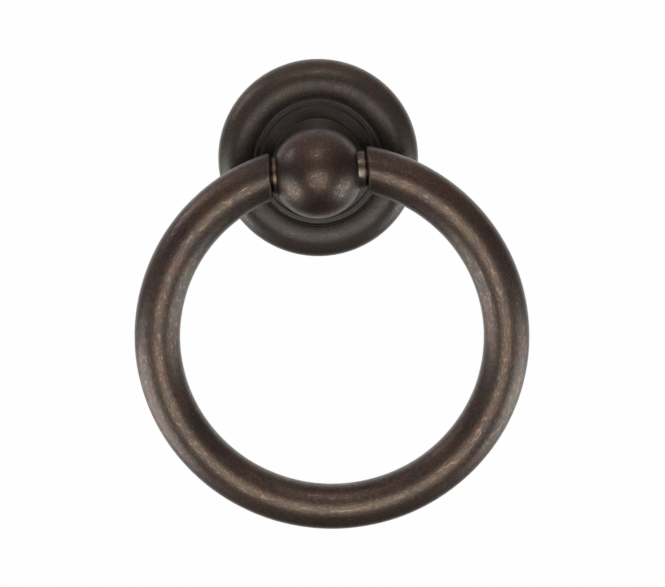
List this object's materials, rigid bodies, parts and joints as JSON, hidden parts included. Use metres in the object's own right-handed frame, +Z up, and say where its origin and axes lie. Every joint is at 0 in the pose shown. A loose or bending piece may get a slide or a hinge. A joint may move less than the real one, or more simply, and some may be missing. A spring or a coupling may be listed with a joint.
{
  "type": "ring pull handle",
  "caption": "Swinging ring on a ball and turned round back plate, pulled by a finger to open a cabinet door or drawer.",
  "frame": {"origin": "centre of the back plate's rear face, at the mouth of the tapped hole, on the door's surface", "axes": "+Z up, +X to the right as seen from the front, +Y along the mounting screw into the door; the handle stands out along -Y"},
  "size_m": [0.0759, 0.0276, 0.0897],
  "materials": {
    "dark_bronze": "antique bronze patina, satin, rubbed on raised edges",
    "rubbed_brass": "worn bare brass"
  },
  "bodies": {
    "base": {"back_plate": "dark_bronze", "ball_post": "dark_bronze"},
    "pull": {"ring": "dark_bronze", "pivot_axle": "rubbed_brass"}
  },
  "joints": [
    {"name": "ring_swing", "type": "hinge", "parent": "base", "child": "pull", "pos_m": [0, -0.0189, 0], "axis": [-1, 0, 0], "range_deg": [-12.5, 192.5]}
  ]
}
